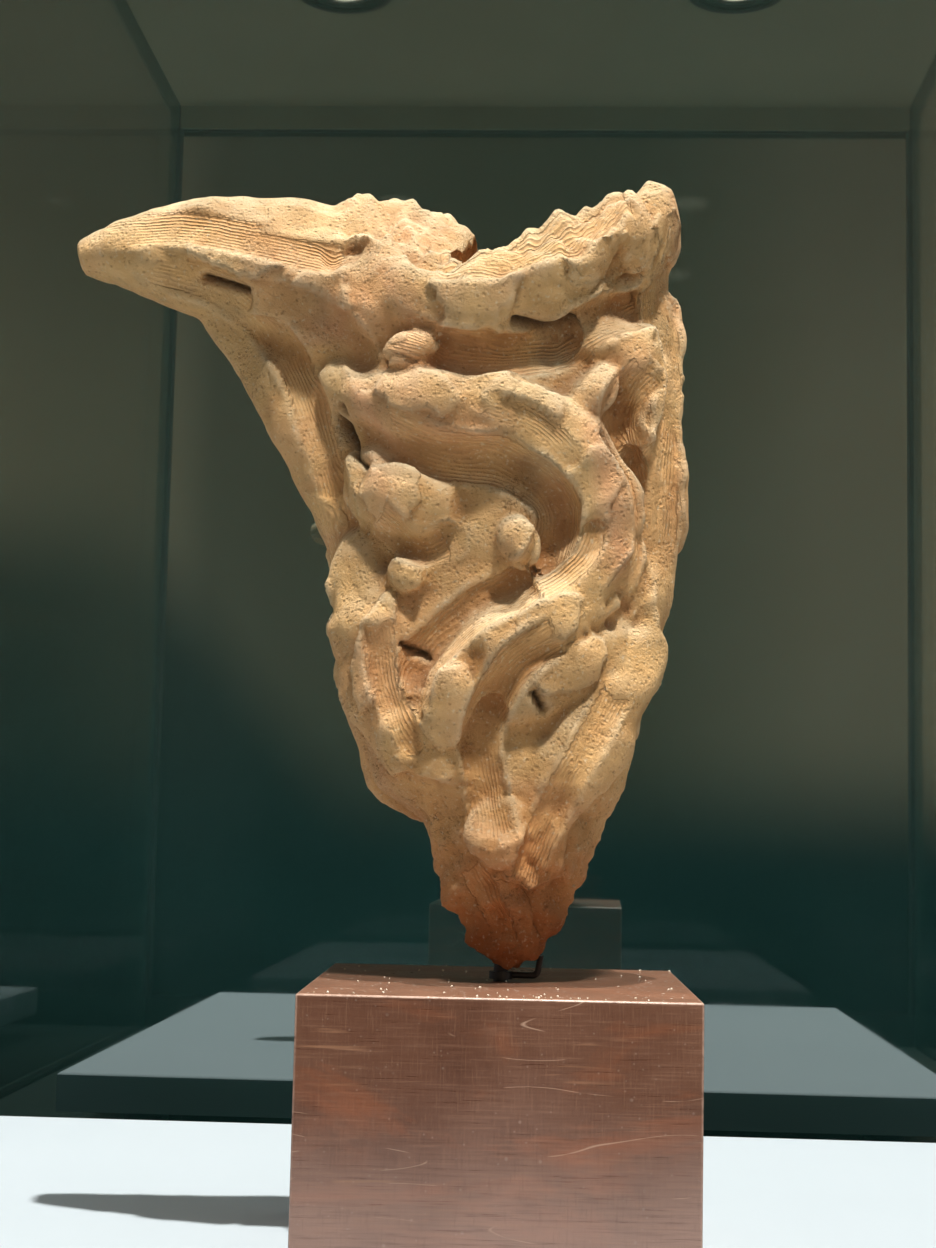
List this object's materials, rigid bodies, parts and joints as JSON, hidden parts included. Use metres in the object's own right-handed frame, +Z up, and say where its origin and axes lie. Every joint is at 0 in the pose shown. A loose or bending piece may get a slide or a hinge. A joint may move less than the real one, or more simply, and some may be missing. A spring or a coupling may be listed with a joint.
{
  "type": "wall mounted showcase",
  "caption": "Wall mounted glass display case with a raised deck, hinged door, climate drawer and spotlights, holding a clay fragment on a block.",
  "frame": {"origin": "centre of the four wall bolts, on the face of the wall", "axes": "+Z up, +Y into the wall, so the glass door faces -Y; +X to the viewer's right"},
  "size_m": [0.814, 0.8523, 1.3108],
  "materials": {
    "wall_steel": "matte powder coat",
    "zinc_steel": "zinc plated",
    "housing_paint": "fine texture powder coat",
    "interior_paint": "satin powder coat",
    "back_glass": "back painted, polished",
    "clear_glass": "laminated low iron, polished edges",
    "deck_white": "satin white lacquer on board",
    "block_brown": "satin red-brown, rubbed",
    "black_steel": "satin black",
    "clay": "unglazed, hand worked",
    "dark_aluminium": "dark anodised",
    "aluminium": "natural anodised",
    "seal_rubber": "silicone",
    "felt": "wool felt",
    "bronze": "bearing bronze",
    "lock_chrome": "polished",
    "white_plastic": "moulded",
    "black_plastic": "moulded"
  },
  "bodies": {
    "case": {"wall_rail_top": "wall_steel", "wall_rail_bottom": "wall_steel", "hanging_hook": "wall_steel", "rail_screws": "zinc_steel", "back_sheet": "housing_paint", "cable_gland": "black_plastic", "back_glass": "back_glass", "back_glass_tape": "seal_rubber", "base_housing": "housing_paint", "base_cover": "housing_paint", "cover_screws": "zinc_steel", "support_arms": "zinc_steel", "drawer_cheeks": "zinc_steel", "glazing_channels": "aluminium", "setting_blocks": "seal_rubber", "recess_floor": "interior_paint", "side_glass_left": "clear_glass", "side_glass_right": "clear_glass", "deck_board": "deck_white", "deck_feet": "black_plastic", "door_gasket": "seal_rubber", "pivot_pins": "zinc_steel", "door_lock_barrels": "lock_chrome", "drawer_runners": "zinc_steel", "canopy_housing": "housing_paint", "lid_hinge_frame_leaves": "zinc_steel", "lid_hinge_pins": "zinc_steel", "ceiling_panel": "interior_paint", "ceiling_beams": "zinc_steel", "led_driver": "white_plastic", "spot_rings": "black_steel", "display_block": "block_brown", "felt_pads": "felt", "mount_pin": "black_steel", "support_claw": "black_steel", "clay_fragment": "clay"},
    "door": {"door_glass": "clear_glass", "door_rail_top": "dark_aluminium", "door_rail_bottom": "dark_aluminium", "pivot_bushes": "bronze"},
    "door_lock_bottom": {"door_lock_plug_bottom": "lock_chrome"},
    "door_lock_top": {"door_lock_plug_top": "lock_chrome"},
    "drawer": {"drawer_box": "zinc_steel", "drawer_front": "housing_paint", "drawer_slides": "zinc_steel", "drawer_lock_barrel": "lock_chrome", "silica_cassette_front": "white_plastic", "silica_cassette_rear": "white_plastic"},
    "drawer_lock": {"drawer_lock_plug": "lock_chrome"},
    "lid": {"canopy_lid": "housing_paint", "lid_hinge_lid_leaves": "zinc_steel"},
    "spot_1_yoke": {"spot_yoke_1": "dark_aluminium"},
    "spot_1_head": {"spot_head_1": "dark_aluminium"},
    "spot_2_yoke": {"spot_yoke_2": "dark_aluminium"},
    "spot_2_head": {"spot_head_2": "dark_aluminium"},
    "spot_3_yoke": {"spot_yoke_3": "dark_aluminium"},
    "spot_3_head": {"spot_head_3": "dark_aluminium"},
    "spot_4_yoke": {"spot_yoke_4": "dark_aluminium"},
    "spot_4_head": {"spot_head_4": "dark_aluminium"}
  },
  "joints": [
    {"name": "door_swing", "type": "hinge", "parent": "case", "child": "door", "pos_m": [-0.395, -0.841, 0], "axis": [0, 0, -1], "range_deg": [0, 100]},
    {"name": "door_lock_bottom_turn", "type": "hinge", "parent": "case", "child": "door_lock_bottom", "pos_m": [0.34, -0.85, -0.481], "axis": [0, -1, 0], "range_deg": [0, 90]},
    {"name": "door_lock_top_turn", "type": "hinge", "parent": "case", "child": "door_lock_top", "pos_m": [0.34, -0.85, 0.561], "axis": [0, 1, 0], "range_deg": [0, 90]},
    {"name": "drawer_slide", "type": "slide", "parent": "case", "child": "drawer", "axis": [0, -1, 0], "range_m": [0, 0.45]},
    {"name": "drawer_lock_turn", "type": "hinge", "parent": "drawer", "child": "drawer_lock", "pos_m": [0, -0.85, -0.55], "axis": [0, -1, 0], "range_deg": [0, 90]},
    {"name": "lid_lift", "type": "hinge", "parent": "case", "child": "lid", "pos_m": [0, -0.0803, 0.6548], "axis": [-1, 0, 0], "range_deg": [0, 80]},
    {"name": "spot_1_turn", "type": "hinge", "parent": "case", "child": "spot_1_yoke", "pos_m": [-0.18, -0.543, 0.526], "axis": [0, 0, 1], "range_deg": [-170, 170]},
    {"name": "spot_1_tilt", "type": "hinge", "parent": "spot_1_yoke", "child": "spot_1_head", "pos_m": [-0.18, -0.543, 0.536], "axis": [1, 0, 0], "range_deg": [-30, 30]},
    {"name": "spot_2_turn", "type": "hinge", "parent": "case", "child": "spot_2_yoke", "pos_m": [0.18, -0.543, 0.526], "axis": [0, 0, 1], "range_deg": [-170, 170]},
    {"name": "spot_2_tilt", "type": "hinge", "parent": "spot_2_yoke", "child": "spot_2_head", "pos_m": [0.18, -0.543, 0.536], "axis": [1, 0, 0], "range_deg": [-30, 30]},
    {"name": "spot_3_turn", "type": "hinge", "parent": "case", "child": "spot_3_yoke", "pos_m": [-0.18, -0.243, 0.526], "axis": [0, 0, 1], "range_deg": [-170, 170]},
    {"name": "spot_3_tilt", "type": "hinge", "parent": "spot_3_yoke", "child": "spot_3_head", "pos_m": [-0.18, -0.243, 0.536], "axis": [1, 0, 0], "range_deg": [-30, 30]},
    {"name": "spot_4_turn", "type": "hinge", "parent": "case", "child": "spot_4_yoke", "pos_m": [0.18, -0.243, 0.526], "axis": [0, 0, 1], "range_deg": [-170, 170]},
    {"name": "spot_4_tilt", "type": "hinge", "parent": "spot_4_yoke", "child": "spot_4_head", "pos_m": [0.18, -0.243, 0.536], "axis": [1, 0, 0], "range_deg": [-30, 30]}
  ]
}
